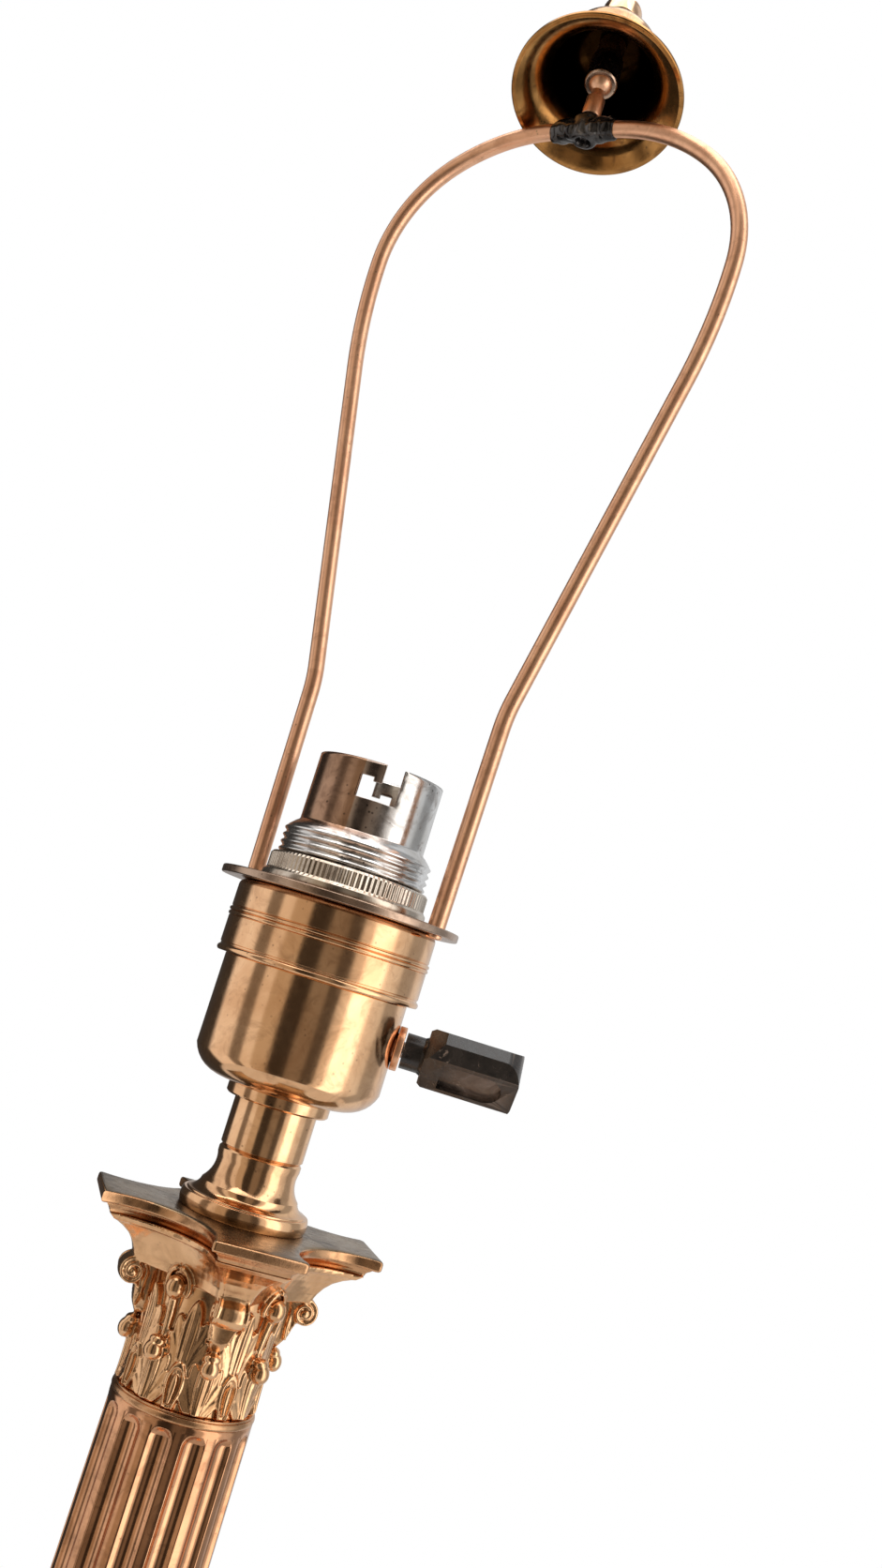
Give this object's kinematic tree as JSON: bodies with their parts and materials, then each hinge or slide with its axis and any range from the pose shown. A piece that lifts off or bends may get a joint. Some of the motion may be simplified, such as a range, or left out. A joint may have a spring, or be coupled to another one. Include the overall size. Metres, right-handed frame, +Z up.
{
  "type": "column table lamp",
  "caption": "Column table lamp with a fluted shaft and leafy capital on a stepped square base, a key-switch bayonet lampholder, and a lyre-shaped harp with a tilting shade cup.",
  "frame": {"origin": "centre of the underside, on the table", "axes": "+Z up along the column; X along the plane of the harp; the sides of the square base are parallel to X and Y; the cord inlet is in the +Y side"},
  "size_m": [0.118, 0.1192, 0.5779],
  "materials": {
    "aged_brass": "aged, cast, with darker recesses",
    "polished_brass": "worn polish with light scratches",
    "worn_brass": "worn grey, plating rubbed",
    "copper_brass": "copper-toned drawn rod",
    "fitting_brass": "machined",
    "blackened": "blackened by brazing",
    "ebonite": "moulded, worn brown on the edges",
    "porcelain": "glazed",
    "steel": "plain",
    "iron": "rough cast",
    "felt": "dark green felt"
  },
  "bodies": {
    "lamp": {"felt_pad": "felt", "plinth": "aged_brass", "base_weight": "iron", "cord_bush": "ebonite", "pedestal": "aged_brass", "tie_tube": "steel", "tie_nut": "steel", "tie_washer": "steel", "column_base": "aged_brass", "column_shaft": "aged_brass", "astragal_ring": "aged_brass", "capital": "aged_brass", "abacus": "aged_brass", "neck_foot": "polished_brass", "neck": "polished_brass", "lock_ring": "polished_brass", "nipple": "fitting_brass", "nipple_nut": "fitting_brass", "switch_housing": "polished_brass", "holder_cap": "polished_brass", "holder_barrel": "worn_brass", "insulator": "porcelain", "key_bush": "copper_brass", "switch_base": "porcelain", "contact_blades": "fitting_brass", "terminal_blocks": "fitting_brass", "terminal_screws": "fitting_brass", "plunger_spring_near": "steel", "plunger_spring_far": "steel"},
    "plunger_near": {"plunger_near": "fitting_brass"},
    "plunger_far": {"plunger_far": "fitting_brass"},
    "key": {"switch_key": "ebonite", "key_spindle": "steel", "switch_rotor": "ebonite", "rotor_contact": "fitting_brass"},
    "shade_ring": {"shade_ring": "worn_brass"},
    "harp": {"harp_plate": "copper_brass", "harp_rod_right": "copper_brass", "harp_rod_left": "copper_brass", "harp_boss": "blackened", "swivel_stem": "copper_brass"},
    "socket": {"ball_socket": "copper_brass"},
    "cup": {"cup": "polished_brass", "finial_washer": "polished_brass"},
    "finial": {"finial": "polished_brass"}
  },
  "joints": [
    {"name": "plunger_near_press", "type": "slide", "parent": "lamp", "child": "plunger_near", "axis": [0, 0, -1], "range_m": [0, 0.003], "stiffness_N_per_m": 1500, "springref_m": -0.002, "deforming": ["plunger_spring_near"]},
    {"name": "plunger_far_press", "type": "slide", "parent": "lamp", "child": "plunger_far", "axis": [0, 0, -1], "range_m": [0, 0.003], "stiffness_N_per_m": 1500, "springref_m": -0.002, "deforming": ["plunger_spring_far"]},
    {"name": "key_turn", "type": "hinge", "parent": "lamp", "child": "key", "pos_m": [0, 0, 0.3568], "axis": [0.866, 0.5, 0], "range_deg": [0, 90]},
    {"name": "shade_ring_turn", "type": "hinge", "parent": "lamp", "child": "shade_ring", "pos_m": [0, 0, 0.3796], "axis": [0, 0, 1], "range_deg": [0, 360]},
    {"name": "harp_turn", "type": "hinge", "parent": "lamp", "child": "harp", "pos_m": [0, 0, 0.3796], "axis": [0, 0, 1], "range_deg": [-180, 180]},
    {"name": "cup_tilt", "type": "hinge", "parent": "harp", "child": "socket", "pos_m": [0, 0, 0.5528], "axis": [-0.829, -0.5592, 0], "range_deg": [-44, 0]},
    {"name": "cup_turn", "type": "hinge", "parent": "socket", "child": "cup", "pos_m": [0, 0, 0.5528], "axis": [-0.2095, 0.3106, 0.9272], "range_deg": [-180, 180]},
    {"name": "finial_turn", "type": "hinge", "parent": "cup", "child": "finial", "pos_m": [0, 0, 0.5528], "axis": [-0.2095, 0.3106, 0.9272], "range_deg": [0, 360]}
  ]
}
